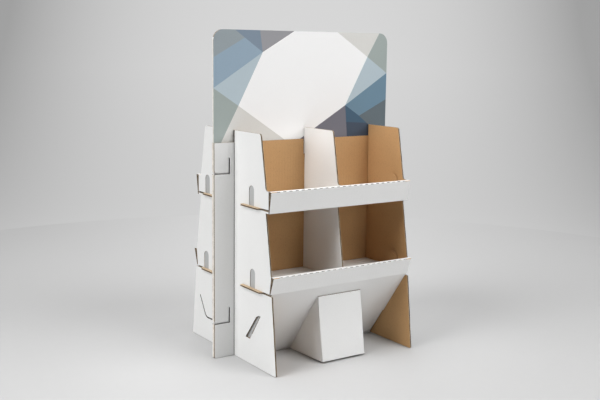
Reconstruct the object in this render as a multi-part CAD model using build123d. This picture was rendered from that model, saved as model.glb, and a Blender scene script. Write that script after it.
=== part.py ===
from build123d import *
from dataclasses import dataclass
import math
import os

# A two-sided counter display folded from corrugated board.
# One tall header card stands in the middle. A unit with two shelves leans on each of its faces.
# X runs along the header, Y is depth, Z is up, and the front unit faces -Y.
# The origin is on the counter, at the centre of the display's box. Sizes are in millimetres.

# Board
BOARD = 3.0           # thickness of one sheet
FIT = 0.3             # gap between a sheet and what it lies against or slides in
FOLD_RADIUS = 1.5     # outside radius of a fold
LOCK_SLIT = 1.4       # width of a knife slit

# Header card
HEADER_WIDTH = 400.0
HEADER_HEIGHT = 612.0
HEADER_CORNER = 20.0

# Side panels. A reach is how far an edge stands in front of the flange.
UNIT_WIDTH = 316.4    # over the outer faces of the two side panels
PANEL_HEIGHT = 430.0
PANEL_TOP_REACH = 92.0
PANEL_UPPER_REACH = 110.5
PANEL_LOWER_REACH = 129.0
PANEL_SHELF_REACH = 132.0
PANEL_FOOT_REACH = 149.0
PANEL_CORNER = 6.0
PANEL_TOE_CORNER = 3.0
HOOK_CORNER = 5.0
REAR_EXTRA_DEPTH = 12.0  # the rear unit is this much deeper than the front one

# Back wall and divider
WALL_HEIGHT = 407.5
NOTCH_DEPTH = 29.0
NOTCH_SIDE_GAP = 2.5

# Locks cut into the flanges
LOCK_HEIGHTS = (66.0, 350.0)
LOCK_SHARE = 0.72     # part of the flange's width that the level cut takes
LOCK_RISE = 29.0
LOCK_CORNER = 6.0

# Shelves, each a sheet folded at the rear into two layers with a hollow between them
SHELF_THICK = 10.8
LAP_REACH = 31.5      # slots in the upright sheets start here and run out to the front
TAB_OVERHANG = 6.5
TAB_TAPER = 7.5
LIP_DEPTH = 9.5       # over the flat top of a rolled lip
HOLLOW_END = 1.0      # width of the hollow in a lip where its two boards come together
WEB_RECESS = 0.6      # how far a lip's tucked end web stands back from the lip's end

# The front fold on top of each lip is perforated
PERFORATION_LENGTH = 6.5
PERFORATION_PITCH = 13.0
PERFORATION_DEPTH = 2.4
PERFORATION_WIDTH = 1.2
PERFORATION_TILT = 45.0   # the cut goes in square to the rounded fold

# Rounded windows above the slots, and the lock tongues that stand behind them
WINDOW_WIDTH = 17.5
TONGUE_MARGIN = 4.0
UPRIGHT_SETBACK = 0.5     # tongues and flaps stand this far in from the side edges of their sheet

# Apron below the lower shelf
APRON_FOOT_REACH = 21.5
APRON_SLOT_BOTTOM = 47.7
APRON_SLOT_TOP = 99.0
APRON_SLOT_WIDTH = 13.0
APRON_SLOT_NOSE = 10.0
APRON_FLAP_MARGIN = 10.0
APRON_FLAP_DEPTH = 30.0
APRON_RELIEF_WIDTH = 2.0  # the apron is this much narrower at each side, below APRON_RELIEF_TOP
APRON_RELIEF_TOP = 57.0

# Curved line scored in the outside of the right panels, in front of the apron: (reach, height)
SCORE_DEPTH = 1.0
SCORE_WIDTH = 1.4
SCORE_PATH = ((116.0, 87.0), (91.0, 46.5), (63.5, 47.5))
SCORE_BEND = 14.0

# Wedge foot in front of the apron
FOOT_WIDTH = 100.0
FOOT_HEIGHT = 126.0
FOOT_REACH = 132.0
FOOT_TOE_LIFT = 1.6   # its front edge stands this far off the counter
FOOT_OFFSET = 5.0     # its centre is this far to the right of the divider


@dataclass
class Level:
    """One shelf: its underside, its lip, and the windows above it in the left and right panels.

    A rise is a height above the shelf's underside.
    """

    shelf: float
    tab_end_reach: float
    lip_hang: float       # how far the lip hangs below the top of the side slots
    lip_base_reach: float
    lip_rise: float
    lip_top_reach: float
    window_rise: float
    window_reach: dict
    has_apron: bool = False

    @property
    def shelf_top(self):
        return self.shelf + SHELF_THICK

    @property
    def upper_layer(self):
        return self.shelf_top - BOARD

    @property
    def lower_layer_top(self):
        return self.shelf + BOARD

    @property
    def lip_base(self):
        return self.lower_layer_top + FIT - self.lip_hang

    @property
    def lip_top(self):
        return self.shelf + self.lip_rise

    @property
    def window_top(self):
        return self.shelf + self.window_rise


UPPER = Level(
    shelf=295.0,
    tab_end_reach=99.5,
    lip_hang=6.8,
    lip_base_reach=123.6,
    lip_rise=36.2,
    lip_top_reach=129.6,
    window_rise=40.0,
    window_reach={"left": 53.3, "right": 74.0},
)
LOWER = Level(
    shelf=143.5,
    tab_end_reach=107.0,
    lip_hang=0.0,
    lip_base_reach=128.7,
    lip_rise=36.1,
    lip_top_reach=140.1,
    window_rise=38.5,
    window_reach={"left": 58.2, "right": 80.0},
    has_apron=True,
)
LEVELS = (UPPER, LOWER)

# Places that follow from the sizes above
CARD_FACE = BOARD / 2
WALL_BACK = CARD_FACE + FIT
FLANGE_FACE = WALL_BACK + BOARD
PANEL_OUTER = UNIT_WIDTH / 2
PANEL_INNER = PANEL_OUTER - BOARD
TRAY_HALF = PANEL_INNER - FIT
UPRIGHT_OUTER = TRAY_HALF - UPRIGHT_SETBACK
HEADER_HALF = HEADER_WIDTH / 2
LOCK_LENGTH = LOCK_SHARE * (HEADER_HALF - PANEL_OUTER)
CARD_SHIFT = -REAR_EXTRA_DEPTH / 2
SIDES = {"left": -1, "right": 1}

SIDE_VIEW = Plane(origin=(0, 0, 0), x_dir=(0, -1, 0), z_dir=(-1, 0, 0))


def outline(*points):
    """A flat face with straight edges through the points."""
    return make_face(Polyline(*points, close=True))


def round_corner(face, point, radius):
    """The face with its corner nearest to the point rounded."""
    nearest = face.vertices().sort_by_distance(Vector(*point))[0]
    return fillet(nearest, radius)


def across(face, start, end):
    """A side view (depth, height) made solid between two X places."""
    return Pos(max(start, end), 0, 0) * extrude(SIDE_VIEW * face, amount=abs(end - start))


def through(face, start, end):
    """A front view (X, height) made solid between two depths."""
    return Pos(0, -start, 0) * extrude(Plane.XZ * face, amount=end - start)


def lip_lean(level):
    """How far the lip's outer face leans out for each millimetre of height."""
    return (level.lip_top_reach - level.lip_base_reach) / (level.lip_top - level.lip_base)


def board_across_lip(level):
    """The level thickness of a board that leans as the lip's outer face does."""
    return BOARD * math.hypot(1, lip_lean(level))


def lip_outer(level, height):
    """Reach of the lip's outer face at a height."""
    return level.lip_base_reach + lip_lean(level) * (height - level.lip_base)


def lip_inner(level, height):
    """Reach of the lip's rear face: one board thick at its base, LIP_DEPTH at its top."""
    base = level.lip_base_reach - board_across_lip(level)
    top = level.lip_top_reach - LIP_DEPTH
    return base + (top - base) * (height - level.lip_base) / (level.lip_top - level.lip_base)


def apron_slope():
    """Reach that the apron gains for each millimetre of height."""
    return (LOWER.lip_base_reach - APRON_FOOT_REACH) / LOWER.lip_base


def apron_outer(height):
    """Reach of the apron's outer face at a height."""
    return APRON_FOOT_REACH + apron_slope() * height


def apron_inner(height):
    """Reach of the apron's inner face at a height."""
    return apron_outer(height) - BOARD * math.hypot(1, apron_slope())


def shelf_front(level, height):
    """Reach at which a layer whose underside is at this height runs into the sheet in front of it."""
    return (apron_inner(height) if level.has_apron else lip_inner(level, height)) + FIT


def front_edge(extra):
    """The front edge of an upright sheet from top to counter, with a hook behind each lip."""
    near = FLANGE_FACE + extra
    points = [(near + PANEL_TOP_REACH, PANEL_HEIGHT)]
    above = (PANEL_UPPER_REACH, PANEL_LOWER_REACH)
    below = (PANEL_UPPER_REACH, PANEL_SHELF_REACH)
    for level, reach_above, reach_below in zip(LEVELS, above, below):
        points += [
            (near + reach_above, level.lip_top),
            (near + lip_inner(level, level.lip_top) - FIT, level.lip_top),
            (near + lip_inner(level, level.lip_base) - FIT, level.lip_base),
            (near + reach_below, level.lip_base),
        ]
    return points + [(near + PANEL_FOOT_REACH, 0)]


def shelf_slot(level, extra, top):
    """The slot for a shelf, up to a layer's top and open at the front edge of an upright sheet."""
    start = FLANGE_FACE + LAP_REACH
    end = FLANGE_FACE + PANEL_FOOT_REACH + extra
    low, high = level.shelf - FIT, top + FIT
    return outline((start, low), (end, low), (end, high), (start, high))


def window(level, side, extra, margin=0.0):
    """The outline with a round head that stands on a slot, or one that is larger by a margin."""
    width = WINDOW_WIDTH + 2 * margin
    start = FLANGE_FACE + extra + level.window_reach[side] - margin
    centre = start + width / 2
    spring = level.window_top + margin - width / 2
    base = level.lower_layer_top
    body = outline((start, base), (start + width, base), (start + width, spring), (start, spring))
    return body + Pos(centre, spring) * Circle(width / 2)


def apron_slot(extra):
    """The slanting slot beside the apron, with a rounded nose at its top."""
    near = FLANGE_FACE + extra - FIT
    width = APRON_SLOT_WIDTH
    front_low = near + apron_outer(APRON_SLOT_BOTTOM)
    front_high = near + apron_outer(APRON_SLOT_TOP)
    face = outline(
        (front_low - width, APRON_SLOT_BOTTOM),
        (front_low, APRON_SLOT_BOTTOM),
        (front_high, APRON_SLOT_TOP),
        (front_high - width, APRON_SLOT_TOP),
    )
    return round_corner(face, (front_high - width, APRON_SLOT_TOP), APRON_SLOT_NOSE)


def curved_score(extra):
    """The scored line of a right panel: one straight run that bends round at its foot."""
    near = FLANGE_FACE + extra
    path = FilletPolyline(*[(near + reach, height) for reach, height in SCORE_PATH], radius=SCORE_BEND)
    return across(trace(path, SCORE_WIDTH), PANEL_OUTER - SCORE_DEPTH, PANEL_OUTER)


def lock_slits():
    """The L-shaped slits of a flange, in front view, for the flange on the right."""
    inner = HEADER_HALF - LOCK_LENGTH
    slits = []
    for height in LOCK_HEIGHTS:
        level_cut = outline(
            (inner, height),
            (HEADER_HALF, height),
            (HEADER_HALF, height + LOCK_SLIT),
            (inner, height + LOCK_SLIT),
        )
        upright_cut = outline(
            (inner - LOCK_SLIT, height),
            (inner, height),
            (inner, height + LOCK_RISE),
            (inner - LOCK_SLIT, height + LOCK_RISE),
        )
        slits.append(level_cut + upright_cut)
    return slits


def header_card():
    face = outline(
        (-HEADER_HALF, 0),
        (HEADER_HALF, 0),
        (HEADER_HALF, HEADER_HEIGHT),
        (-HEADER_HALF, HEADER_HEIGHT),
    )
    for x in (-HEADER_HALF, HEADER_HALF):
        face = round_corner(face, (x, HEADER_HEIGHT), HEADER_CORNER)
    return through(face, -CARD_FACE, CARD_FACE)


def side_panel(side, extra):
    """A side panel and its flange, bent from one sheet: three views of it, intersected."""
    rim = front_edge(extra)
    reach = max(point[0] for point in rim)

    profile = outline((WALL_BACK, PANEL_HEIGHT), *rim, (WALL_BACK, 0))
    profile = round_corner(profile, rim[0], PANEL_CORNER)
    profile = round_corner(profile, rim[1], HOOK_CORNER)
    profile = round_corner(profile, rim[-1], PANEL_TOE_CORNER)
    for level in LEVELS:
        profile -= shelf_slot(level, extra, level.lower_layer_top) + window(level, side, extra)
    if side == "left":
        profile -= apron_slot(extra)

    plan = outline(
        (PANEL_INNER, WALL_BACK),
        (HEADER_HALF, WALL_BACK),
        (HEADER_HALF, FLANGE_FACE),
        (PANEL_OUTER, FLANGE_FACE),
        (PANEL_OUTER, reach),
        (PANEL_INNER, reach),
    )
    plan = round_corner(plan, (PANEL_INNER, WALL_BACK), BOARD)

    front = outline(
        (PANEL_INNER, 0),
        (HEADER_HALF, 0),
        (HEADER_HALF, WALL_HEIGHT),
        (PANEL_OUTER, WALL_HEIGHT),
        (PANEL_OUTER, PANEL_HEIGHT),
        (PANEL_INNER, PANEL_HEIGHT),
    )
    for slit in lock_slits():
        front -= slit
    for height in LOCK_HEIGHTS:
        front = round_corner(front, (HEADER_HALF, height + LOCK_SLIT), min(LOCK_CORNER, LOCK_LENGTH / 2))

    sheet = mirror(extrude(plan, amount=PANEL_HEIGHT), Plane.XZ)
    sheet = sheet & across(profile, 0, HEADER_HALF) & through(front, 0, reach)
    return sheet - curved_score(extra) if side == "right" else mirror(sheet, Plane.YZ)


def back_wall():
    """The wall behind the shelves, notched at the top for the divider."""
    notch_half = BOARD / 2 + NOTCH_SIDE_GAP
    notch_floor = WALL_HEIGHT - NOTCH_DEPTH
    face = outline(
        (-TRAY_HALF, 0),
        (TRAY_HALF, 0),
        (TRAY_HALF, WALL_HEIGHT),
        (notch_half, WALL_HEIGHT),
        (notch_half, notch_floor),
        (-notch_half, notch_floor),
        (-notch_half, WALL_HEIGHT),
        (-TRAY_HALF, WALL_HEIGHT),
    )
    return through(face, WALL_BACK, FLANGE_FACE)


def divider(extra):
    """The middle upright: it hooks over the wall's notch and ends behind the apron."""
    near = FLANGE_FACE + extra
    rear = FLANGE_FACE + FIT
    hook_height = WALL_HEIGHT - NOTCH_DEPTH + FIT
    rim = front_edge(extra)
    profile = outline(
        (WALL_BACK, PANEL_HEIGHT),
        *rim[:-2],
        (near + apron_inner(LOWER.lip_base) - FIT, LOWER.lip_base),
        (near + apron_inner(0) - FIT, 0),
        (rear, 0),
        (rear, hook_height),
        (WALL_BACK, hook_height),
    )
    profile = round_corner(profile, rim[0], PANEL_CORNER)
    profile = round_corner(profile, rim[1], HOOK_CORNER)
    for level in LEVELS:
        profile -= shelf_slot(level, extra, level.shelf_top)
    return across(profile, -BOARD / 2, BOARD / 2)


def lip(level, extra):
    """A rolled lip: outer board, flat top and inner board, with tucked webs at its ends."""
    near = FLANGE_FACE + extra
    roof = level.lip_top - BOARD
    slant = board_across_lip(level)
    section = outline(
        (near + lip_inner(level, level.lip_base), level.lip_base),
        (near + level.lip_base_reach, level.lip_base),
        (near + level.lip_top_reach, level.lip_top),
        (near + lip_inner(level, level.lip_top), level.lip_top),
    )
    for reach in (level.lip_top_reach, lip_inner(level, level.lip_top)):
        section = round_corner(section, (near + reach, level.lip_top), FOLD_RADIUS)
    if not level.has_apron:
        section = round_corner(section, (near + level.lip_base_reach, level.lip_base), FOLD_RADIUS)
    rolled = across(section, -PANEL_OUTER, PANEL_OUTER)

    hollow_top = lip_outer(level, roof) - slant - (lip_inner(level, roof) + BOARD)
    closing = (LIP_DEPTH - slant) / (level.lip_top - level.lip_base)
    low = roof - (hollow_top - HOLLOW_END) / closing
    hollow = outline(
        (near + lip_inner(level, roof) + BOARD, roof),
        (near + lip_outer(level, roof) - slant, roof),
        (near + lip_outer(level, low) - slant, low),
        (near + lip_inner(level, low) + BOARD, low),
    )
    rolled -= across(hollow, -PANEL_OUTER, PANEL_OUTER)
    web = outline(
        (near + lip_inner(level, roof) + BOARD / 2, roof - FIT),
        (near + lip_outer(level, roof) - slant - FIT, roof - FIT),
        (near + lip_outer(level, low) - slant - FIT, low),
        (near + lip_inner(level, low) + BOARD / 2, low),
    )
    for sign in SIDES.values():
        rolled += across(web, sign * (PANEL_OUTER - WEB_RECESS), sign * PANEL_INNER)
    return rolled - perforations(near + level.lip_top_reach, level.lip_top)


def perforations(reach, height):
    """The short cuts along a fold that runs across the whole unit."""
    knife = Rectangle(2 * PERFORATION_DEPTH, PERFORATION_WIDTH)
    notch = Pos(reach, height) * Rot(0, 0, PERFORATION_TILT) * knife
    cut = across(notch, -PERFORATION_LENGTH / 2, PERFORATION_LENGTH / 2)
    count = math.floor((UNIT_WIDTH - PERFORATION_LENGTH) / PERFORATION_PITCH)
    return [place * cut for place in GridLocations(PERFORATION_PITCH, PERFORATION_PITCH, count, 1)]


def shelf(level, extra):
    """Two layers of board folded at the rear, with a lap slot for the divider.

    The lower layer has the tabs that stand out through the side panels.
    """
    near = FLANGE_FACE + extra
    rear = FLANGE_FACE + FIT
    start = rear + BOARD
    tab_start = FLANGE_FACE + LAP_REACH + FIT
    tab_end = near + level.tab_end_reach
    tab_tip = PANEL_OUTER + TAB_OVERHANG
    tab = [(TRAY_HALF, -tab_start), (tab_tip, -tab_start), (tab_tip, TAB_TAPER - tab_end), (TRAY_HALF, -tab_end)]
    plans = {}
    for height, side in ((level.shelf, tab), (level.upper_layer, [])):
        front = near + shelf_front(level, height)
        plans[height] = [(0, -start), (TRAY_HALF, -start), *side, (TRAY_HALF, -front), (0, -front)]
    lap = BOARD / 2 + FIT
    lap_cut = outline((0, -rear), (lap, -rear), (lap, -tab_start), (0, -tab_start))
    right = [Pos(0, 0, z) * extrude(outline(*plan) - lap_cut, amount=BOARD) for z, plan in plans.items()]

    fold = outline(
        (rear, level.shelf),
        (start, level.shelf),
        (start, level.shelf_top),
        (rear, level.shelf_top),
    )
    for height in (level.shelf, level.shelf_top):
        fold = round_corner(fold, (rear, height), FOLD_RADIUS)
    right.append(across(fold, lap, TRAY_HALF))
    return right[0] + right[1:] + [mirror(piece, Plane.YZ) for piece in right]


def tongues(level, extra):
    """The lock tongues that stand up from the shelf behind the windows of both side panels."""
    standing = []
    for side, sign in SIDES.items():
        face = window(level, side, extra, TONGUE_MARGIN)
        standing.append(across(face, sign * (UPRIGHT_OUTER - BOARD), sign * UPRIGHT_OUTER))
    return standing


def upper_tray(extra):
    tray = shelf(UPPER, extra) + lip(UPPER, extra)
    return tray + tongues(UPPER, extra)


def apron(extra):
    """The slanting board from the lip down to the counter, between the side panels."""
    near = FLANGE_FACE + extra
    top = LOWER.lip_base
    square_cut = (apron_outer(0) - apron_inner(0)) * apron_slope() / (1 + apron_slope() ** 2)
    face = outline(
        (near + apron_outer(0), 0),
        (near + apron_outer(top), top),
        (near + apron_inner(top), top),
        (near + apron_inner(square_cut), square_cut),
    )
    board = across(face, -TRAY_HALF, TRAY_HALF)
    relief = outline(
        (near + apron_outer(0), 0),
        (near + apron_outer(APRON_RELIEF_TOP), APRON_RELIEF_TOP),
        (near + apron_inner(APRON_RELIEF_TOP), APRON_RELIEF_TOP),
        (near + apron_inner(0), 0),
    )
    for sign in SIDES.values():
        board -= across(relief, sign * (TRAY_HALF - APRON_RELIEF_WIDTH), sign * TRAY_HALF)

    low = APRON_SLOT_BOTTOM - APRON_FLAP_MARGIN
    high = APRON_SLOT_TOP + APRON_FLAP_MARGIN
    flap = outline(
        (near + apron_inner(low) + FIT, low),
        (near + apron_inner(high) + FIT, high),
        (near + apron_inner(high - APRON_FLAP_MARGIN) - APRON_FLAP_DEPTH, high - APRON_FLAP_MARGIN),
        (near + apron_inner(low) - APRON_FLAP_DEPTH, low),
    )
    flaps = [across(flap, sign * (UPRIGHT_OUTER - BOARD), sign * UPRIGHT_OUTER) for sign in SIDES.values()]
    return board + flaps


def lower_tray(extra):
    tray = shelf(LOWER, extra) + lip(LOWER, extra)
    return tray + apron(extra) + tongues(LOWER, extra)


def wedge_foot(extra):
    """A three-sided box that leans against the apron: its front, and a triangle on each side."""
    near = FLANGE_FACE + extra
    clear = FIT * math.hypot(1, apron_slope())
    tip = near + apron_outer(FOOT_HEIGHT) + clear
    toe = near + FOOT_REACH
    heel = near + apron_outer(0) + clear
    lean = (toe - tip) / FOOT_HEIGHT
    inner_toe = toe - BOARD * math.hypot(1, lean)
    inner_tip = inner_toe - lean * FOOT_HEIGHT
    low_toe = toe - lean * FOOT_TOE_LIFT
    triangle = outline((low_toe, FOOT_TOE_LIFT), (tip, FOOT_HEIGHT), (heel, 0))
    solid = across(triangle, -FOOT_WIDTH / 2, FOOT_WIDTH / 2)
    front_folds = solid.faces().sort_by(Axis.Y)[0].edges().filter_by(Plane.YZ)
    solid = fillet(front_folds, FOLD_RADIUS)
    inside = outline((inner_toe, 0), (inner_tip, FOOT_HEIGHT), (heel - BOARD, FOOT_HEIGHT), (heel - BOARD, 0))
    inner_half = FOOT_WIDTH / 2 - BOARD
    return Pos(FOOT_OFFSET, 0, 0) * (solid - across(inside, -inner_half, inner_half))


def unit(extra):
    """The pieces of one unit that faces -Y, by name."""
    return {
        "left_side_panel": side_panel("left", extra),
        "right_side_panel": side_panel("right", extra),
        "back_wall": back_wall(),
        "divider": divider(extra),
        "upper_tray": upper_tray(extra),
        "lower_tray": lower_tray(extra),
        "wedge_foot": wedge_foot(extra),
    }


def display():
    """Every piece of the display in its place, by name."""
    pieces = {"header_card": header_card()}
    for name, piece in unit(0).items():
        pieces["front_" + name] = piece
    for name, piece in unit(REAR_EXTRA_DEPTH).items():
        pieces["rear_" + name] = Rot(0, 0, 180) * piece
    return {name: Pos(0, CARD_SHIFT, 0) * piece for name, piece in pieces.items()}


os.makedirs("parts", exist_ok=True)
for name, piece in display().items():
    export_step(piece, f"parts/{name}.step")
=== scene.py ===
"""Dresses the cardboard counter display: liners, print, and cut edges with their flutes."""

import itertools
import math
from typing import NamedTuple

import bmesh
import bpy
import numpy as np
from mathutils import Matrix, Vector
from mathutils.bvhtree import BVHTree


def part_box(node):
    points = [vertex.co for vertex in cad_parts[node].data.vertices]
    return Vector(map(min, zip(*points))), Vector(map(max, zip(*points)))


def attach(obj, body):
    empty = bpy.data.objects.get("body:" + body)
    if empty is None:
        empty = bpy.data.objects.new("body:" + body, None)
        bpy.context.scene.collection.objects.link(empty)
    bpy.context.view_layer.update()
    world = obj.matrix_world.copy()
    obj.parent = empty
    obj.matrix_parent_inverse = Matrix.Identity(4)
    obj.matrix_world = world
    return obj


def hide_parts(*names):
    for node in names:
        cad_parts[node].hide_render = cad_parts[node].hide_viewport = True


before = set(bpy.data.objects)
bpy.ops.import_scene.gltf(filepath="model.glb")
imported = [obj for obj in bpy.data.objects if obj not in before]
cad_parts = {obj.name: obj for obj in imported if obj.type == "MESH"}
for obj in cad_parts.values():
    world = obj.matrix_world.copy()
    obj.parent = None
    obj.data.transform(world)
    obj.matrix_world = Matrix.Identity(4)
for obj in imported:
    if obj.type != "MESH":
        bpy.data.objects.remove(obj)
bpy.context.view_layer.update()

X_AXIS = Vector((1, 0, 0))
Y_AXIS = Vector((0, 1, 0))

# Board, in metres
BOARD = 0.003
BOARD_TOLERANCE = 0.00008
LINER = 0.00032         # thickness of an outer paper at a cut edge
MEDIUM = 0.00026        # thickness of the wavy paper between the liners
POCKET = 0.0011         # how deep a cut edge is open between its liners
RIBBON_GAP = LINER / 4  # the wavy paper ends this far below the liners' cut and above the pocket's floor
FLUTE_PITCH = 0.0064
FLUTE_SAMPLES = 8       # points of the wavy paper in one pitch
LONGEST_SAMPLE = 0.012
SMALLEST_SHARE = 1e-6   # stands in for nought where a share divides
MERGE = 0.00001
FLAT_ANGLE = math.radians(0.2)
CUT_SHARE = 0.7         # a face is a cut edge if its runs cover this share of it
NARROW = 0.0032         # the walls of a knife cut stand closer than this
HOLLOW_REACH = 0.012    # inside a rolled lip or a shelf, the next wall is within this reach
FOOT_REACH = 0.12       # and this is the reach inside a wedge foot
CREASE = 0.0008         # width and depth of the groove along the fold of a side panel
TAB_REACH = 0.0095      # the tabs stand out this far past the tongues
LIP_END = 0.0045        # and the ends of the lips lie between these two distances in from the tabs' ends
LIP_END_FAR = 0.0075
SPINE_PLACE = 0.199     # cut edges further out than this are the display's spine, and stay flat
GROOVE_FLOOR = BOARD / 4            # an outer face of a side panel further in than this is a groove's floor
SLIT_GROWTH = 0.0007    # each wall of a slit is pressed back this far
TOE_GROWTH = 0.0014     # and the foot's lifted front edge stands this much higher than it was cut
SHELF_AREA = 0.01       # an up-facing face larger than this is a layer of a shelf
SHELF_GAP = 0.0078      # from the lower layer's top to the upper layer's top
TONGUE_MARGIN = 0.004   # a tongue is this much larger than its window all round
LATCH_CLEARANCE = 0.0004
LATCH_RECESS = 0.0008   # the pressed-out part of a tongue stops this far below the panel's face
LATCH_TURNS = 16
SLOT_LOW = 0.0477       # the slanting slot beside the apron
SLOT_HIGH = 0.0990
SLOT_SLOPE = 0.7302
SLOT_REACH = (0.040, 0.110)
SLOT_WIDTHS = ((0.0, 0.0165), (0.72, 0.0200), (0.84, 0.0165), (0.94, 0.0110), (1.0, 0.0055))
SLOT_GROWTH = (0.0030, 0.0020)      # how far its front side is pressed forwards at its foot and at its head

# How much of a face's normal lies along an axis
FACING = 0.9            # the face looks straight along it
LEANING = 0.5           # or more along it than across it
SLANTING = 0.1          # or along more than one axis
PARALLEL = 0.99         # both sides of a run of a cut edge lie along each other
OPPOSED = 0.999         # and the faces beyond them look opposite ways
APRON_BACK = 0.3        # the hidden side of the slanting apron looks back this much
APRON_UP = 0.4          # and up this much

# Moves of points that several faces share
STEP_LIMIT = 3          # a sharp corner moves at most this many steps
SLIT_LIMIT = 2          # and at a slit this many
STEP_CUTOFF = 0.01      # a direction is left alone below this share of the one asked for most
SLIT_CUTOFF = 0.3

# Camera, from the photograph's edges
PHOTO_WIDTH = 600
FOCAL_PIXELS = 915.29
SENSOR = 36.0
CAMERA_PLACE = Vector((-0.99686, -1.47344, 0.57366))
CAMERA_YAW = math.radians(33.987)
CAMERA_PITCH = math.radians(9.201)
CAMERA_ROLL = math.radians(0.723)

# Material slots of every board piece; the header card's inks come after them
# Of these, the hollow, grey and slit slots hold painted shade, and the spine slot holds a pale cut edge painted
# as lit.
WHITE, KRAFT, CUT, HOLLOW_SHADE, SHADE_GREY, NARROW_SHADE, LIT_SPINE, TAB = range(8)
FIRST_INK = TAB + 1

# Textures of paper
CLOUD_SCALE = 9.0
FLECK_SCALE = 900.0
FLECK_STRETCH = (1.0, 1.0, 0.35)
FIBRE_SCALE = 2200.0
FIBRE_STRETCH = (0.5, 0.5, 2.2)
FIBRE_SHARE = 0.5       # the fibres darken the paper by this share of what the flecks do
FIBRE_STRENGTH = 0.6
ROUGHNESS_SWING = 0.16  # between the dullest and the smoothest fibre
PAPER_GLOSS = 0.28
CUT_SCALE = 1500.0      # the torn fibres of a cut
CUT_DEPTH = 0.00008
CUT_STRENGTH = 0.8
CUT_WEAR = 0.82         # its darkest patches have this share of its tone
CUT_ROUGHNESS = 0.9
CUT_GLOSS = 0.15
PATCH_SCALE = 120.0


def linear(red, green, blue):
    """A colour that is written as 0-255 screen values."""
    shades = []
    for value in (red, green, blue):
        value /= 255
        shades.append(value / 12.92 if value <= 0.04045 else ((value + 0.055) / 1.055) ** 2.4)
    return (*shades, 1.0)


# Materials


class Tree:
    """Short words for adding and joining shader nodes."""

    def __init__(self, material):
        material.use_nodes = True
        self.nodes = material.node_tree.nodes
        self.links = material.node_tree.links
        self.shader = self.nodes["Principled BSDF"]

    def add(self, kind, **values):
        node = self.nodes.new(kind)
        for name, value in values.items():
            setattr(node, name, value)
        return node

    def join(self, source, target):
        self.links.new(source, target)

    def noise(self, coordinates, scale, *, detail, roughness):
        node = self.add("ShaderNodeTexNoise")
        node.inputs["Scale"].default_value = scale
        node.inputs["Detail"].default_value = detail
        node.inputs["Roughness"].default_value = roughness
        self.join(coordinates, node.inputs["Vector"])
        return node.outputs["Fac"]

    def stretch(self, coordinates, scale):
        node = self.add("ShaderNodeMapping")
        node.inputs["Scale"].default_value = scale
        self.join(coordinates, node.inputs["Vector"])
        return node.outputs["Vector"]

    def ramp(self, factor, *stops):
        node = self.add("ShaderNodeValToRGB")
        elements = node.color_ramp.elements
        while len(elements) < len(stops):
            elements.new(0.5)
        for element, (place, colour) in zip(elements, stops):
            element.position = place
            element.color = colour
        self.join(factor, node.inputs["Fac"])
        return node.outputs["Color"]

    def math(self, operation, *inputs):
        node = self.add("ShaderNodeMath", operation=operation)
        for place, value in enumerate(inputs):
            if isinstance(value, (int, float)):
                node.inputs[place].default_value = value
            else:
                self.join(value, node.inputs[place])
        return node.outputs["Value"]

    def mix(self, factor, first, second, blend="MIX"):
        node = self.add("ShaderNodeMix", data_type="RGBA", blend_type=blend)
        for name, kind, value in (("Factor", "VALUE", factor), ("A", "RGBA", first), ("B", "RGBA", second)):
            socket = next(s for s in node.inputs if s.name == name and s.type == kind)
            if isinstance(value, (int, float, tuple)):
                socket.default_value = value
            else:
                self.join(value, socket)
        return next(s for s in node.outputs if s.type == "RGBA")

    def bump(self, height, distance, strength=1.0, below=None):
        node = self.add("ShaderNodeBump")
        node.inputs["Distance"].default_value = distance
        node.inputs["Strength"].default_value = strength
        self.join(height, node.inputs["Height"])
        if below is not None:
            self.join(below, node.inputs["Normal"])
        return node.outputs["Normal"]


def grey(value):
    return (value, value, value, 1.0)


def paper(name, colour, *, fleck, cloud, fibre, roughness, washboard, across):
    """Paper over flutes: fibres, flecks, slow changes of tone, and the flutes just showing through."""
    material = bpy.data.materials.new(name)
    tree = Tree(material)
    place = tree.add("ShaderNodeTexCoord").outputs["Object"]

    clouds = tree.noise(place, CLOUD_SCALE, detail=3.0, roughness=0.5)
    tone = tree.ramp(clouds, (0.3, grey(1 - cloud)), (0.7, grey(1.0)))
    flecks = tree.noise(tree.stretch(place, FLECK_STRETCH), FLECK_SCALE, detail=2.0, roughness=0.7)
    specks = tree.ramp(flecks, (0.30, grey(1 - fleck)), (0.46, grey(1.0)))
    fibres = tree.noise(tree.stretch(place, FIBRE_STRETCH), FIBRE_SCALE, detail=3.0, roughness=0.75)
    hair = tree.ramp(fibres, (0.25, grey(1 - fleck * FIBRE_SHARE)), (0.75, grey(1.0)))
    shade = tree.mix(1.0, colour, tone, "MULTIPLY")
    shade = tree.mix(1.0, shade, specks, "MULTIPLY")
    shade = tree.mix(1.0, shade, hair, "MULTIPLY")
    tree.join(shade, tree.shader.inputs["Base Color"])

    dull = tree.math("MULTIPLY_ADD", fibres, ROUGHNESS_SWING, roughness - ROUGHNESS_SWING / 2)
    tree.join(dull, tree.shader.inputs["Roughness"])
    tree.shader.inputs["Specular IOR Level"].default_value = PAPER_GLOSS

    split = tree.add("ShaderNodeSeparateXYZ")
    tree.join(place, split.inputs["Vector"])
    run = split.outputs["X"]
    if across == "both":
        run = tree.math("ADD", split.outputs["X"], split.outputs["Y"])
    wave = tree.math("SINE", tree.math("MULTIPLY", run, 2 * math.pi / FLUTE_PITCH))
    ribs = tree.bump(wave, washboard)
    tree.join(tree.bump(fibres, fibre, FIBRE_STRENGTH, ribs), tree.shader.inputs["Normal"])
    return material


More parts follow.
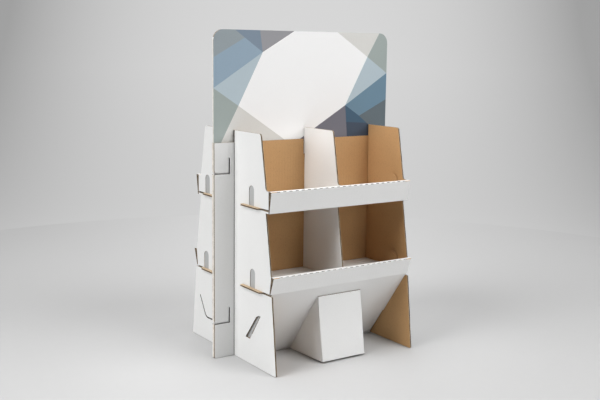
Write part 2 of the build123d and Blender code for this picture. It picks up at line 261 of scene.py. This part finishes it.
def cut_paper(name, colour, dark):
    """The raw cut of a paper: kraft fibres pulled open by the knife."""
    material = bpy.data.materials.new(name)
    tree = Tree(material)
    place = tree.add("ShaderNodeTexCoord").outputs["Object"]
    fibres = tree.noise(place, CUT_SCALE, detail=3.0, roughness=0.7)
    patches = tree.noise(place, PATCH_SCALE, detail=2.0, roughness=0.5)
    shade = tree.ramp(fibres, (0.3, dark), (0.62, colour))
    wear = tree.ramp(patches, (0.35, grey(CUT_WEAR)), (0.65, grey(1.0)))
    tree.join(tree.mix(1.0, shade, wear, "MULTIPLY"), tree.shader.inputs["Base Color"])
    tree.shader.inputs["Roughness"].default_value = CUT_ROUGHNESS
    tree.shader.inputs["Specular IOR Level"].default_value = CUT_GLOSS
    tree.join(tree.bump(fibres, CUT_DEPTH, CUT_STRENGTH), tree.shader.inputs["Normal"])
    return material


WHITE_COLOUR = linear(235, 235, 234)
# Painted shade: the tongues and the flaps behind the slanting slots are grey, as they look in the shade of
# their windows.
SHADE_GREY_COLOUR = linear(182, 183, 183)
KRAFT_COLOUR = linear(202, 160, 112)
TAB_COLOUR = linear(214, 190, 158)
CUT_EDGE = cut_paper("cut_edge", linear(216, 200, 178), linear(172, 152, 128))
# Painted shade: the floors of the cut edges' pockets, and the front unit's spine edges, are dark as the shade
# inside them.
FLUTE_HOLLOW_SHADE = cut_paper("flute_hollow_shade", linear(124, 106, 86), linear(84, 68, 52))
# Painted highlight: the spine edges are near white, as they look lit by the lamps on the left.
LIT_SPINE_EDGE = cut_paper("lit_spine_edge", linear(252, 250, 246), linear(240, 236, 228))
# Painted shade: the walls of knife cuts and the floors of the creases' grooves are dark as the shade between
# them.
NARROW_SHADE_PAPER = cut_paper("narrow_shade", linear(70, 62, 54), linear(44, 38, 32))


def board_papers(across):
    """The materials of a board piece, in the order of their slots.

    The flutes show through as a wave along X, or along both X and Y on upright sheets, which face either way.
    """
    smooth = {"fibre": 0.00004, "washboard": 0.000012, "across": across}
    kraft = {"fleck": 0.16, "cloud": 0.07, "fibre": 0.00006, "roughness": 0.8, "washboard": 0.00003}
    return [
        paper(f"white_liner_{across}", WHITE_COLOUR, fleck=0.035, cloud=0.02, roughness=0.62, **smooth),
        paper(f"kraft_liner_{across}", KRAFT_COLOUR, across=across, **kraft),
        CUT_EDGE,
        FLUTE_HOLLOW_SHADE,
        paper(f"shade_grey_liner_{across}", SHADE_GREY_COLOUR, fleck=0.05, cloud=0.03, roughness=0.7, **smooth),
        NARROW_SHADE_PAPER,
        LIT_SPINE_EDGE,
        paper(f"tab_liner_{across}", TAB_COLOUR, across=across, **kraft),
    ]


BOARD_PAPERS = {across: board_papers(across) for across in ("both", "x")}


# Board meshes


def neighbour(face, edge):
    """The face on the other side of an edge."""
    return next((other for other in edge.link_faces if other is not face), None)


class Run(NamedTuple):
    """A straight stretch of a cut edge, along the middle of the board."""

    start: Vector
    along: Vector
    length: float
    thick: Vector       # across the board
    outward: Vector     # out of the cut edge


def cut_runs(face):
    """The straight runs of a cut edge: pairs of parallel sides whose outer faces are a board apart."""
    sides = []
    for loop in face.loops:
        other = neighbour(face, loop.edge)
        if other is not None:
            a, b = loop.vert.co, loop.link_loop_next.vert.co
            sides.append((a, (b - a).normalized(), (b - a).length, other.normal))
    runs = []
    for (a, along, length, normal), (b, against, span, opposite) in itertools.combinations(sides, 2):
        if normal.dot(opposite) > -OPPOSED or abs(along.dot(against)) < PARALLEL:
            continue
        if abs(abs((b - a).dot(normal)) - BOARD) > BOARD_TOLERANCE:
            continue
        ends = sorted(((b - a).dot(along), (b + against * span - a).dot(along)))
        start, stop = max(0.0, ends[0]), min(length, ends[1])
        if stop - start > LINER:
            middle = a + normal * ((b - a).dot(normal) / 2)
            runs.append(Run(middle + along * start, along, stop - start, normal.copy(), face.normal.copy()))
    return runs


def flute_ribbon(bm, run, across):
    """The wavy paper along one run, as a thin closed strip between the liners."""
    start, along, length, thick, outward = run
    share = max(abs(along.dot(across)), SMALLEST_SHARE)
    step = min(FLUTE_PITCH / FLUTE_SAMPLES / share, LONGEST_SAMPLE)
    count = max(1, math.ceil(length / step))
    swing = BOARD / 2 - LINER - MEDIUM / 2
    deep = outward * (RIBBON_GAP - POCKET)
    high = outward * -RIBBON_GAP
    half = thick * (MEDIUM / 2)
    rings = []
    for index in range(count + 1):
        middle = start + along * (length * index / count)
        middle = middle + thick * (swing * math.sin(2 * math.pi * middle.dot(across) / FLUTE_PITCH))
        rings.append([bm.verts.new(middle + side + level) for side, level in
                      ((half, high), (-half, high), (-half, deep), (half, deep))])
    faces = []
    for ring, after in itertools.pairwise(rings):
        for corner in range(4):
            pair = (corner, (corner + 1) % 4)
            faces.append(bm.faces.new((ring[pair[0]], ring[pair[1]], after[pair[1]], after[pair[0]])))
    faces.append(bm.faces.new(rings[0][::-1]))
    faces.append(bm.faces.new(rings[-1]))
    bmesh.ops.recalc_face_normals(bm, faces=faces)
    for face in faces:
        face.material_index = CUT


def shared_move(rows, cutoff):
    """The least move that goes each row's distance along the row's direction, as nearly as can be."""
    directions, distances = zip(*rows)
    return Vector(np.linalg.lstsq(np.array(directions), np.array(distances), rcond=cutoff)[0])


def step_in(bm, faces, conditions, limit):
    """Extrudes faces as one region and moves each copied point as the conditions on it ask."""
    asked = {}
    for direction, distance, point in conditions:
        asked.setdefault(tuple(point), []).append((direction, distance))
    grown = bmesh.ops.extrude_face_region(bm, geom=faces)
    for point in (item for item in grown["geom"] if isinstance(item, bmesh.types.BMVert)):
        shift = shared_move(asked[tuple(point.co)], STEP_CUTOFF)
        if shift.length > limit:
            shift *= limit / shift.length
        point.co += shift
    left = [face for face in faces if face.is_valid]
    if left:
        bmesh.ops.delete(bm, geom=left, context="FACES_ONLY")
    bm.normal_update()
    return [item for item in grown["geom"] if isinstance(item, bmesh.types.BMFace)]


def inset_conditions(faces):
    """Each boundary side of the region moves into its face by a liner, and stays in its face's plane."""
    region = set(faces)
    found = []
    for face in faces:
        for loop in face.loops:
            a, b = loop.vert.co, loop.link_loop_next.vert.co
            found += [(face.normal.copy(), 0.0, a), (face.normal.copy(), 0.0, b)]
            if neighbour(face, loop.edge) not in region:
                inward = face.normal.cross(b - a).normalized()
                found += [(inward, LINER, a), (inward, LINER, b)]
    return found


def crease(bm, side, front, outer, flange):
    """Presses a groove into the corner between a side panel and its flange."""
    planes = (
        (Vector((side * (outer + CREASE), 0, 0)), X_AXIS),
        (Vector((0, flange + front * CREASE, 0)), Y_AXIS),
    )
    for place, normal in planes:
        everything = bm.verts[:] + bm.edges[:] + bm.faces[:]
        bmesh.ops.bisect_plane(bm, geom=everything, dist=MERGE, plane_co=place, plane_no=normal)
    for point in bm.verts:
        if abs(point.co.x - side * outer) < MERGE and abs(point.co.y - flange) < MERGE:
            point.co -= Vector((side * CREASE, front * CREASE, 0))
    bm.normal_update()


def sheet_mesh(node):
    """The form of a CAD node, with its flat faces whole."""
    bm = bmesh.new()
    bm.from_mesh(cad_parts[node].data)
    bmesh.ops.remove_doubles(bm, verts=bm.verts, dist=MERGE)
    bmesh.ops.dissolve_limit(bm, angle_limit=FLAT_ANGLE, verts=bm.verts, edges=bm.edges)
    bm.normal_update()
    return bm


def face_middles(bm):
    """A place well inside each face: the middle of its largest triangle."""
    largest = {}
    for corners in bm.calc_loop_triangles():
        a, b, c = (corner.vert.co for corner in corners)
        size = (b - a).cross(c - a).length
        if size > largest.get(corners[0].face, (0, None))[0]:
            largest[corners[0].face] = (size, (a + b + c) / 3)
    return {face: middle for face, (size, middle) in largest.items()}


def is_at_spine(place, normal):
    """Whether a cut edge is one of the display's two outermost upright edges."""
    return abs(normal.x) > FACING and abs(place.x) > SPINE_PLACE


def dress(bm, node, across_axis, surface, reach=HOLLOW_REACH, closed=lambda place: False, spine=LIT_SPINE):
    """Gives a sheet its liners, and open flutes at its cut edges, but not where it is pressed closed."""
    tree = BVHTree.FromBMesh(bm)
    middles = face_middles(bm)
    cut = []
    ribbons = []
    for face in bm.faces:
        middle = middles[face]
        gap = tree.ray_cast(middle + face.normal * MERGE, face.normal, reach)[3]
        face.material_index = surface(face.normal, middle, gap is not None)
        # Walls that face each other across a narrow knife cut are painted dark, as the shade between them.
        if gap is not None and gap < NARROW:
            face.material_index = NARROW_SHADE
            continue
        if closed(middle):
            continue
        runs = cut_runs(face)
        if face.material_index == CUT or sum(run.length for run in runs) * BOARD > CUT_SHARE * face.calc_area():
            face.material_index = CUT
            cut.append(face)
            ribbons += runs
    cut = step_in(bm, cut, inset_conditions(cut), STEP_LIMIT * LINER)
    deep = []
    for face in cut:
        if is_at_spine(face.verts[0].co, face.normal):
            # Spine edges are painted pale, as lit by the lamps on the left.
            face.material_index = spine
        else:
            # The pocket's floor is painted dark, as the shade inside the open flutes.
            face.material_index = HOLLOW_SHADE
            deep.append(face)
    sinks = [(face.normal.copy(), -POCKET, point.co) for face in deep for point in face.verts]
    step_in(bm, deep, sinks, STEP_LIMIT * POCKET)
    for run in ribbons:
        if not is_at_spine(run.start, run.outward):
            flute_ribbon(bm, run, across_axis(run))
    low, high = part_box(node)
    for point in bm.verts:
        point.co = Vector(min(max(value, least), most) for value, least, most in zip(point.co, low, high))


def finish_board(bm, node, materials):
    """The mesh as a piece that stands for its CAD node."""
    mesh = bpy.data.meshes.new(node + "_board")
    bm.to_mesh(mesh)
    bm.free()
    piece = bpy.data.objects.new(node + "_board", mesh)
    bpy.context.scene.collection.objects.link(piece)
    for material in materials:
        mesh.materials.append(material)
    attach(piece, "root")
    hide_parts(node)


def upright_across(run):
    """Flutes stand upright: the wave runs along X on sheets that face Y, and along Y on sheets that face X."""
    return Y_AXIS if abs(run.thick.x) > LEANING else X_AXIS


def tray_across(run):
    """Flutes run from front to back: the wave runs along X."""
    return X_AXIS


# Units


def widen_slot(bm, front, flange):
    """The flap behind presses the slanting slot open, most of all below its rounded head."""
    places = {}
    lowest, highest = SLOT_LOW - BOARD_TOLERANCE, SLOT_HIGH + BOARD_TOLERANCE
    for point in bm.verts:
        reach = (point.co.y - flange) * front
        if SLOT_REACH[0] < reach < SLOT_REACH[1] and lowest < point.co.z < highest:
            places[point] = reach - SLOT_SLOPE * point.co.z
    most = max(places.values())
    heights, widths = zip(*SLOT_WIDTHS)
    for point, place in places.items():
        up = (point.co.z - SLOT_LOW) / (SLOT_HIGH - SLOT_LOW)
        target = most + float(np.interp(up, (0.0, 1.0), SLOT_GROWTH))
        if most - place > BOARD_TOLERANCE:
            target -= float(np.interp(up, heights, widths))
        point.co.y += front * (target - place)
    bm.normal_update()


def open_slits(bm):
    """Presses the walls of the knife cuts apart."""
    tree = BVHTree.FromBMesh(bm)
    middles = face_middles(bm)
    walls = set()
    for face in bm.faces:
        slanting = abs(face.normal.x) > SLANTING and abs(face.normal.y) > SLANTING
        opposite = tree.ray_cast(middles[face] + face.normal * MERGE, face.normal, NARROW)[0]
        if not slanting and opposite is not None:
            walls.add(face)
    moves = {}
    for point in {corner for face in walls for corner in face.verts}:
        rows = [(face.normal, -SLIT_GROWTH if face in walls else 0.0) for face in point.link_faces]
        moves[point] = shared_move(rows, SLIT_CUTOFF)
    for point, move in moves.items():
        point.co += move * min(1.0, SLIT_LIMIT * SLIT_GROWTH / max(move.length, MERGE))
    bm.normal_update()


def add_side_panel(node, front, side):
    """White outside, with a crease at its flange, and with the slanting slot in the left panel of each unit."""
    low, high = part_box(node)
    outer = min(abs(low.x), abs(high.x)) + BOARD
    flange = min(abs(low.y - CARD_PLACE), abs(high.y - CARD_PLACE)) * front + CARD_PLACE + front * BOARD
    bm = sheet_mesh(node)
    crease(bm, side, front, outer, flange)
    open_slits(bm)
    if side == front:
        widen_slot(bm, front, flange)

    def surface(normal, place, enclosed):
        if normal.x * side > LEANING:
            # The floor of the crease's groove is painted dark, as the shade in the groove.
            return WHITE if abs(place.x) > outer - GROOVE_FLOOR else NARROW_SHADE
        return WHITE if normal.y * front > LEANING else KRAFT

    # The front unit's spine edges are painted in the dark hollow shade, as the shadow of the gap by the header
    # card; the rear unit's are painted pale, as lit.
    dress(bm, node, upright_across, surface, spine=HOLLOW_SHADE if front < 0 else LIT_SPINE)
    finish_board(bm, node, BOARD_PAPERS["both"])


def add_divider(node, front):
    """Its white side is the left one as seen from the front of its unit."""
    bm = sheet_mesh(node)
    dress(bm, node, upright_across,
          lambda normal, place, enclosed: WHITE if normal.x * front > LEANING else KRAFT)
    finish_board(bm, node, BOARD_PAPERS["both"])


def add_back_wall(node, front):
    """Its kraft side faces the shelves."""
    bm = sheet_mesh(node)
    dress(bm, node, upright_across,
          lambda normal, place, enclosed: KRAFT if normal.y * front > LEANING else WHITE)
    finish_board(bm, node, BOARD_PAPERS["both"])


def is_lower_layer(normal, place, shelf_top):
    """Whether a place is on the top of the lower layer, which ends in the tabs."""
    return normal.z > FACING and place.z < shelf_top - BOARD


def is_tongue(face, shelf_top):
    """Whether a face is the outer side of a lock tongue that stands on the shelf."""
    outward = face.normal.x * face.verts[0].co.x > 0 and abs(face.normal.x) > FACING
    return outward and abs(min(point.co.z for point in face.verts) - shelf_top) < MERGE


def latch_outline(face, shelf_top):
    """The part of a tongue that is pressed out into its window: the side it is on, and its (y, z) outline."""
    inset = TONGUE_MARGIN + LATCH_CLEARANCE
    back = min(point.co.y for point in face.verts) + inset
    ahead = max(point.co.y for point in face.verts) - inset
    radius = (ahead - back) / 2
    spring = max(point.co.z for point in face.verts) - inset - radius
    outline = [(back, shelf_top - SHELF_GAP + MERGE), (ahead, shelf_top - SHELF_GAP + MERGE)]
    for step in range(LATCH_TURNS + 1):
        turn = math.pi * step / LATCH_TURNS
        outline.append((back + radius + radius * math.cos(turn), spring + radius * math.sin(turn)))
    return math.copysign(1, face.normal.x), outline


def add_latch(bm, side, outline, start, end):
    """A closed prism of the outline, from one distance off the middle to another."""
    rings = [[bm.verts.new((side * off, y, z)) for y, z in outline] for off in (start, end)]
    faces = [bm.faces.new(rings[0]), bm.faces.new(rings[1][::-1])]
    for index in range(len(outline)):
        faces.append(bm.faces.new((rings[0][index - 1], rings[0][index], rings[1][index], rings[1][index - 1])))
    bmesh.ops.recalc_face_normals(bm, faces=faces)
    # The pressed-out part is painted grey as shade, like the rest of the tongue.
    for face in faces:
        face.material_index = SHADE_GREY


def add_tray(node, front):
    """Its tongues, and the flaps behind the slanting slots, are painted grey as the shade of the windows they
    show through; its lips and aprons are white.
    """
    low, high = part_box(node)
    shelf_half = high.x - TAB_REACH
    tab_start = shelf_half + BOARD / 2
    bm = sheet_mesh(node)
    shelf_top = max(face.verts[0].co.z for face in bm.faces
                    if face.normal.z > FACING and face.calc_area() > SHELF_AREA)
    for side in (-1, 1):
        lower = {part for face in bm.faces if is_lower_layer(face.normal, face.verts[0].co, shelf_top)
                 for part in (face, *face.edges, *face.verts)}
        bmesh.ops.bisect_plane(bm, geom=list(lower), dist=MERGE, plane_no=X_AXIS,
                               plane_co=X_AXIS * side * tab_start)
    tongues = [face for face in bm.faces if is_tongue(face, shelf_top)]
    latches = [latch_outline(face, shelf_top) for face in tongues]

    def surface(normal, place, enclosed):
        if abs(normal.x) > FACING:
            if LIP_END < high.x - abs(place.x) < LIP_END_FAR and not enclosed:
                return CUT
            if enclosed or normal.x * place.x < 0:
                return KRAFT
            # Outward faces inside the panels are painted grey as shade: the tongues in their windows and the
            # flaps behind the slanting slots.
            return WHITE if abs(place.x) > shelf_half else SHADE_GREY
        if closed(place):
            return KRAFT
        under_apron = normal.y * front < -APRON_BACK and normal.z > APRON_UP
        if is_lower_layer(normal, place, shelf_top):
            return TAB if abs(place.x) > tab_start else KRAFT
        return KRAFT if enclosed or under_apron else WHITE

    def closed(place):
        return place.z > shelf_top + MERGE and shelf_half - 2 * BOARD < abs(place.x) < shelf_half

    dress(bm, node, tray_across, surface, closed=closed)
    for side, outline in latches:
        add_latch(bm, side, outline, shelf_half - TONGUE_MARGIN / 2, shelf_half + BOARD - LATCH_RECESS)
    finish_board(bm, node, BOARD_PAPERS["x"])


def add_foot(node):
    """A folded wedge, white outside, whose front edge is lifted a little."""
    bm = sheet_mesh(node)
    toe = min(point.co.z for point in bm.verts if point.co.z > BOARD_TOLERANCE)
    for point in bm.verts:
        if abs(point.co.z - toe) < BOARD_TOLERANCE:
            point.co.z += TOE_GROWTH
    dress(bm, node, tray_across, lambda normal, place, enclosed: KRAFT if enclosed else WHITE, FOOT_REACH)
    finish_board(bm, node, BOARD_PAPERS["x"])


card_low, card_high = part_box("header_card")
CARD_PLACE = (card_low.y + card_high.y) / 2
for unit, front in (("front", -1), ("rear", 1)):
    for hand in ("left", "right"):
        low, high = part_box(f"{unit}_{hand}_side_panel")
        add_side_panel(f"{unit}_{hand}_side_panel", front, math.copysign(1, low.x + high.x))
    add_divider(unit + "_divider", front)
    add_back_wall(unit + "_back_wall", front)
    add_tray(unit + "_upper_tray", front)
    add_tray(unit + "_lower_tray", front)
    add_foot(unit + "_wedge_foot")


# Header print: a white field with facets of flat colour in the corners of the card


def between(start, end, share):
    """The place a share of the way from one place to another."""
    return tuple(a + (b - a) * share for a, b in zip(start, end))


CARD_HALF = card_high.x
CARD_TOP = card_high.z
PRINT_FOOT = 0.403      # the print ends behind the compartments
UPPER_KNEE = (-0.096, 0.572)
LEFT_KNEE = (-0.148, 0.474)
RIGHT_KNEE = (0.150, 0.565)
LOWER_KNEE = (0.097, 0.470)
CORNER_LEFT = (-CARD_HALF, CARD_TOP)
CORNER_RIGHT = (CARD_HALF, CARD_TOP)
TOP_LEFT = (-0.155, CARD_TOP)
TOP_SLATE = (-0.102, CARD_TOP)
TOP_MAUVE = (-0.026, CARD_TOP)
TOP_SAND = (0.075, CARD_TOP)
TOP_RIGHT = (0.179, CARD_TOP)
LEFT_HIGH = (-CARD_HALF, 0.562)
LEFT_LOW = (-CARD_HALF, 0.507)
RIGHT_HIGH = (CARD_HALF, 0.533)
RIGHT_LOW = (CARD_HALF, 0.480)
EDGE_LEFT = (-CARD_HALF, PRINT_FOOT)
EDGE_RIGHT = (CARD_HALF, PRINT_FOOT)
FOOT_LEFT = (-0.187, PRINT_FOOT)
FOOT_SAND = (-0.039, PRINT_FOOT)
FOOT_PLUM = (-0.018, PRINT_FOOT)
FOOT_MIDDLE = (0.103, PRINT_FOOT)
FOOT_RIGHT = (0.192, PRINT_FOOT)
SLATE_CORNER = between(TOP_LEFT, UPPER_KNEE, 0.35)
TEAL_CORNER = (0.132, 0.448)
NAVY_CORNER = between(TEAL_CORNER, FOOT_RIGHT, 0.33)
NAVY_EDGE = between(LOWER_KNEE, FOOT_MIDDLE, 0.5)
INKS = {
    "stone": (152, 162, 167),
    "slate": (129, 145, 161),
    "mauve": (156, 156, 160),
    "sky": (150, 171, 188),
    "pale": (185, 200, 208),
    "sage": (164, 174, 171),
    "sand": (223, 222, 218),
    "blue": (110, 139, 158),
    "teal": (100, 111, 117),
    "deep": (68, 95, 117),
    "navy": (66, 79, 96),
    "plum": (118, 118, 128),
}
FIELDS = (
    ("stone", [CORNER_LEFT, TOP_LEFT, SLATE_CORNER, LEFT_HIGH]),
    ("slate", [TOP_LEFT, TOP_SLATE, UPPER_KNEE]),
    ("mauve", [TOP_SLATE, TOP_MAUVE, UPPER_KNEE]),
    ("sky", [LEFT_HIGH, SLATE_CORNER, UPPER_KNEE, LEFT_LOW]),
    ("pale", [UPPER_KNEE, LEFT_LOW, LEFT_KNEE]),
    ("sage", [LEFT_LOW, LEFT_KNEE, FOOT_LEFT, EDGE_LEFT]),
    ("sand", [LEFT_KNEE, FOOT_SAND, FOOT_LEFT]),
    ("sand", [TOP_SAND, TOP_RIGHT, RIGHT_KNEE]),
    ("sage", [TOP_RIGHT, CORNER_RIGHT, RIGHT_HIGH, RIGHT_KNEE]),
    ("pale", [RIGHT_KNEE, RIGHT_HIGH, LOWER_KNEE]),
    ("blue", [LOWER_KNEE, RIGHT_HIGH, RIGHT_LOW, TEAL_CORNER]),
    ("teal", [RIGHT_LOW, EDGE_RIGHT, FOOT_RIGHT, TEAL_CORNER]),
    ("deep", [LOWER_KNEE, TEAL_CORNER, NAVY_CORNER, NAVY_EDGE]),
    ("navy", [NAVY_EDGE, NAVY_CORNER, FOOT_RIGHT, FOOT_MIDDLE]),
    ("plum", [LOWER_KNEE, FOOT_MIDDLE, FOOT_PLUM]),
)


def sides_of(places):
    """Each place of a closed outline with the next one."""
    return zip(places, places[1:] + places[:1])


def is_inside(places, x, z):
    """Whether a place lies in a field, which has no hollow corner."""
    turns = [(x1 - x0) * (z - z0) - (z1 - z0) * (x - x0) for (x0, z0), (x1, z1) in sides_of(places)]
    return min(turns) > 0 or max(turns) < 0


def print_face(bm, facing):
    """Cuts the card's face on one side along the fields' sides, and inks each part."""
    faces = [face for face in bm.faces if face.normal.y * facing > FACING and face.material_index == WHITE]
    for _, places in FIELDS:
        for (x0, z0), (x1, z1) in sides_of(places):
            plane = {
                "plane_co": Vector((-facing * x0, 0, z0)),
                "plane_no": Vector((z1 - z0, 0, facing * (x1 - x0))),
            }
            parts = {part for face in faces for part in (face, *face.edges, *face.verts)}
            result = bmesh.ops.bisect_plane(bm, geom=list(parts), dist=MERGE, **plane)
            faces = [part for part in result["geom"] if isinstance(part, bmesh.types.BMFace)]
    for face in faces:
        middle = face.calc_center_median()
        for ink, places in FIELDS:
            if is_inside(places, -facing * middle.x, middle.z):
                face.material_index = FIRST_INK + list(INKS).index(ink)
    inner = {edge for face in faces for edge in face.edges if len(edge.link_faces) == 2}
    same = [edge for edge in inner if edge.link_faces[0].material_index == edge.link_faces[1].material_index]
    bmesh.ops.dissolve_edges(bm, edges=same, use_verts=False)


PRINTED = {"fibre": 0.00003, "roughness": 0.5, "washboard": 0.00001, "across": "x"}
CARD_PAPERS = [
    paper("white_print", linear(253, 253, 253), fleck=0.02, cloud=0.012, **PRINTED),
    *BOARD_PAPERS["x"][1:],
]
for ink, colour in INKS.items():
    CARD_PAPERS.append(paper("ink_" + ink, linear(*colour), fleck=0.05, cloud=0.03, **PRINTED))
card = sheet_mesh("header_card")
dress(card, "header_card", upright_across, lambda normal, place, enclosed: WHITE)
for facing in (-1, 1):
    print_face(card, facing)
finish_board(card, "header_card", CARD_PAPERS)


# Stage

FLOOR_RADIUS = 1.45
SWEEP_RADIUS = 1.5
SWEEP_STEPS = 24
WALL_HEIGHT = 5.0
STAGE_TURNS = 96
FLOOR_GAP = 0.0007      # uneven lower edges leave a thin line of shadow
# The backdrop's painted pool of light: palest and glowing most at its middle, and glowing again far to the
# sides.
BACKDROP_MIDDLE = -0.03     # where it is palest, beside the origin as the camera sees it
BACKDROP_HALF = 1.28
BACKDROP_TURN = 1.25        # from this many half widths it grows paler again, for the other views
BACKDROP_RETURN = 0.6
BACKDROP_FALL = 3.0         # the power by which its glow changes from the middle to a half width
BACKDROP_ROUGHNESS = 0.7
BACKDROP_GLOSS = 0.1
GRAIN_SCALE = 60.0
GRAIN_DARKEST = 0.985


def ring_surface(name, profile):
    """A surface turned round the Z axis from (radius, height) points."""
    bm = bmesh.new()
    rings = []
    for radius, height in profile:
        if radius == 0:
            rings.append([bm.verts.new((0, 0, height))] * STAGE_TURNS)
        else:
            turns = [2 * math.pi * index / STAGE_TURNS for index in range(STAGE_TURNS)]
            rings.append([bm.verts.new((radius * math.cos(t), radius * math.sin(t), height)) for t in turns])
    for ring, after in itertools.pairwise(rings):
        for index in range(STAGE_TURNS):
            corners = [ring[index], ring[index - 1], after[index - 1], after[index]]
            bm.faces.new(list(dict.fromkeys(corners)))
    for face in bm.faces:
        face.smooth = True
    mesh = bpy.data.meshes.new(name)
    bm.to_mesh(mesh)
    bm.free()
    stage = bpy.data.objects.new(name, mesh)
    bpy.context.scene.collection.objects.link(stage)
    return stage


sweep = []
for step in range(SWEEP_STEPS + 1):
    turn = math.pi / 2 * step / SWEEP_STEPS
    sweep.append((FLOOR_RADIUS + SWEEP_RADIUS * math.sin(turn), SWEEP_RADIUS * (1 - math.cos(turn))))
floor = ring_surface("stage_floor", [(0, 0), (FLOOR_RADIUS, 0)])
wall = ring_surface("stage_wall", sweep + [(FLOOR_RADIUS + SWEEP_RADIUS, WALL_HEIGHT)])
for stage in (floor, wall):
    stage.location.z = -FLOOR_GAP
wall.visible_diffuse = False
wall.visible_shadow = False


def studio_material(name, *, colours, glows, run, begin, full, foot):
    """Matte backdrop with a painted pool of light, palest and glowing most behind the display; its glow evens
    out its own tone and lights nothing.

    The two colours, and the first two glows, are those of its middle and of a half width to the side; the
    third glow is beyond that. Along the run, a radius or a height, the glow grows from the share foot at
    begin to the whole at full.
    """
    material = bpy.data.materials.new(name)
    tree = Tree(material)
    place = tree.add("ShaderNodeTexCoord").outputs["Object"]
    offset = tree.add("ShaderNodeVectorMath", operation="DOT_PRODUCT")
    tree.join(place, offset.inputs[0])
    offset.inputs[1].default_value = (math.cos(CAMERA_YAW), -math.sin(CAMERA_YAW), 0)
    aside = tree.math("ABSOLUTE", tree.math("SUBTRACT", offset.outputs["Value"], BACKDROP_MIDDLE))
    aside = tree.math("DIVIDE", aside, BACKDROP_HALF)
    fade = tree.ramp(aside, (0.0, colours[0]), (1.0, colours[1]))
    grain = tree.noise(place, GRAIN_SCALE, detail=2.0, roughness=0.5)
    grain = tree.ramp(grain, (0.2, grey(GRAIN_DARKEST)), (0.8, grey(1.0)))
    tree.join(tree.mix(1.0, fade, grain, "MULTIPLY"), tree.shader.inputs["Base Color"])
    tree.shader.inputs["Roughness"].default_value = BACKDROP_ROUGHNESS
    tree.shader.inputs["Specular IOR Level"].default_value = BACKDROP_GLOSS

    side = tree.math("POWER", aside, BACKDROP_FALL)
    glow = tree.ramp(side, (0.0, grey(glows[0])), (1.0, grey(glows[1])))
    beyond = tree.math("DIVIDE", tree.math("SUBTRACT", aside, BACKDROP_TURN), BACKDROP_RETURN)
    beyond = tree.ramp(beyond, (0.0, grey(0.0)), (1.0, grey(1.0)))
    glow = tree.mix(beyond, glow, grey(glows[2]))
    split = tree.add("ShaderNodeSeparateXYZ")
    tree.join(place, split.inputs["Vector"])
    distance = split.outputs["Z"]
    if run == "radius":
        square = tree.math("MULTIPLY", split.outputs["X"], split.outputs["X"])
        distance = tree.math("SQRT", tree.math("MULTIPLY_ADD", split.outputs["Y"], split.outputs["Y"], square))
    share = tree.math("DIVIDE", tree.math("SUBTRACT", distance, begin), full - begin)
    growth = tree.ramp(share, (0.0, grey(foot)), (1.0, grey(1.0)))
    tree.join(tree.mix(1.0, glow, growth, "MULTIPLY"), tree.shader.inputs["Emission Color"])
    ray = tree.add("ShaderNodeLightPath").outputs
    seen = tree.math("MAXIMUM", ray["Is Camera Ray"], ray["Is Glossy Ray"])
    tree.join(tree.math("MAXIMUM", seen, ray["Is Transmission Ray"]), tree.shader.inputs["Emission Strength"])
    return material


floor.data.materials.append(studio_material(
    "studio_floor", colours=(linear(200, 200, 200), linear(155, 155, 155)), glows=(0.132, 0.038, 0.038),
    run="radius", begin=0.5, full=FLOOR_RADIUS, foot=0.0))
wall.data.materials.append(studio_material(
    "studio_wall", colours=(linear(97, 97, 97), linear(97, 97, 97)), glows=(0.565, 0.255, 0.5),
    run="height", begin=0.0, full=0.5, foot=0.868))


# Light

LAMP_AIM = Vector((0.0, 0.0, 0.3))
LAMPS = (               # name, place, size in metres, power in watts
    ("left_low", (-2.6, 0.25, 1.2), 1.2, 25),
    ("left_high", (-2.0, -0.3, 2.2), 1.2, 37),
    ("front_right", (1.7, -2.1, 1.6), 1.4, 26),
    ("front_high", (0.6, -1.9, 2.5), 1.2, 27),
    ("front_low", (0.5, -2.8, 0.9), 1.2, 10),
    ("top", (0.0, 0.0, 2.6), 1.8, 27),
    ("rear_fill", (0.3, 1.4, 2.4), 1.4, 15),
    ("right_fill", (2.6, 0.0, 1.4), 1.2, 8),
    ("rear_low", (1.7, 2.3, 1.3), 1.4, 9),
)
WORLD_STRENGTH = 0.015


def area_light(name, place, size, power):
    """A round lamp that is aimed at the display."""
    data = bpy.data.lights.new(name, "AREA")
    data.shape = "DISK"
    data.size = size
    data.energy = power
    lamp = bpy.data.objects.new(name, data)
    bpy.context.scene.collection.objects.link(lamp)
    lamp.location = place
    lamp.rotation_mode = "QUATERNION"
    lamp.rotation_quaternion = (LAMP_AIM - Vector(place)).to_track_quat("-Z", "Y")


for lamp_values in LAMPS:
    area_light(*lamp_values)

world = bpy.data.worlds.new("studio")
world.use_nodes = True
world.node_tree.nodes["Background"].inputs["Color"].default_value = grey(1.0)
world.node_tree.nodes["Background"].inputs["Strength"].default_value = WORLD_STRENGTH
bpy.context.scene.world = world


# Camera

ahead = Vector((
    math.sin(CAMERA_YAW) * math.cos(CAMERA_PITCH),
    math.cos(CAMERA_YAW) * math.cos(CAMERA_PITCH),
    -math.sin(CAMERA_PITCH),
))
level_right = Vector((math.cos(CAMERA_YAW), -math.sin(CAMERA_YAW), 0))
level_up = level_right.cross(ahead)
right = level_right * math.cos(CAMERA_ROLL) + level_up * math.sin(CAMERA_ROLL)
upward = level_up * math.cos(CAMERA_ROLL) - level_right * math.sin(CAMERA_ROLL)
camera_data = bpy.data.cameras.new("camera")
camera_data.sensor_width = SENSOR
camera_data.lens = FOCAL_PIXELS / PHOTO_WIDTH * SENSOR
camera = bpy.data.objects.new("camera", camera_data)
bpy.context.scene.collection.objects.link(camera)
camera.matrix_world = Matrix.Translation(CAMERA_PLACE) @ Matrix((right, upward, -ahead)).transposed().to_4x4()
bpy.context.scene.camera = camera
bpy.context.scene.view_settings.view_transform = "Standard"
